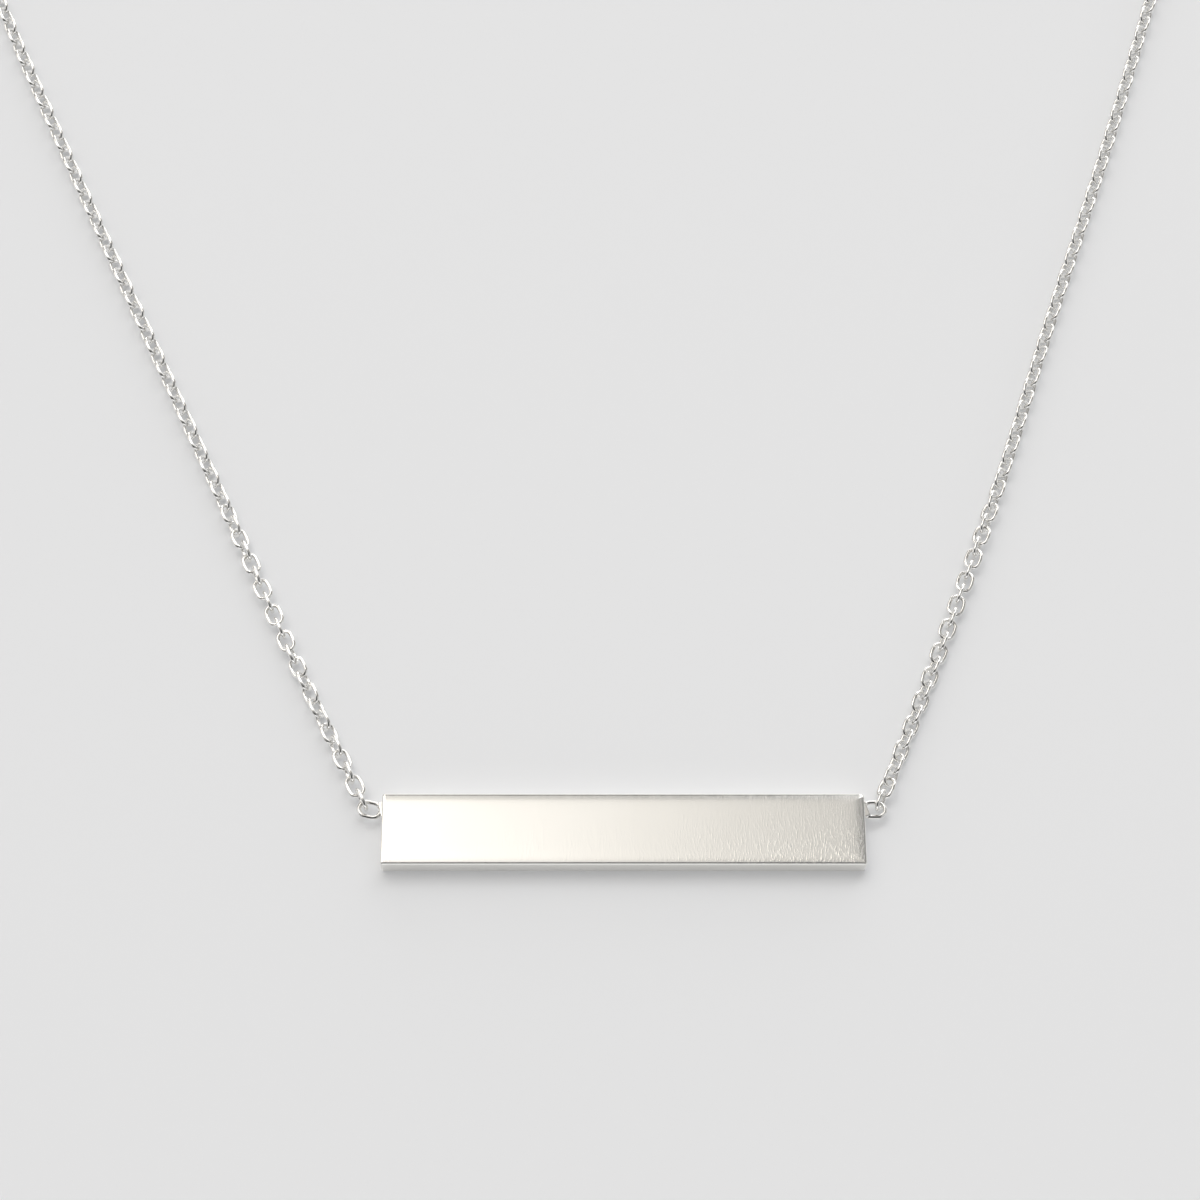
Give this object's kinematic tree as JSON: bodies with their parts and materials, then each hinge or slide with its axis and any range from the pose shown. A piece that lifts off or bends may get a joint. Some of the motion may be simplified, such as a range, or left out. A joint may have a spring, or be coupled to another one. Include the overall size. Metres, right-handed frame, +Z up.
{
  "type": "bar pendant necklace",
  "caption": "Plain horizontal bar pendant with soldered end links, on a fine oval cable chain that closes with a spring ring, lying flat as a whole loop.",
  "frame": {"origin": "middle of the bar's flat underside, on the surface that the necklace lies on", "axes": "+X along the bar, to the right as seen from the bar's front; +Y from the bar towards the clasp at the back of the loop; +Z up, out of the bar's face"},
  "size_m": [0.1157, 0.173, 0.0036],
  "materials": {
    "bar_silver": "sterling silver, satin polished",
    "chain_silver": "sterling silver wire, bright polished",
    "clasp_silver": "sterling silver, bright polished"
  },
  "bodies": {
    "root": {"bar": "bar_silver", "chain_left": "chain_silver", "chain_right": "chain_silver", "chain_back_left": "chain_silver", "chain_back_right": "chain_silver", "clasp": "clasp_silver", "jump_ring": "clasp_silver"}
  },
  "joints": []
}
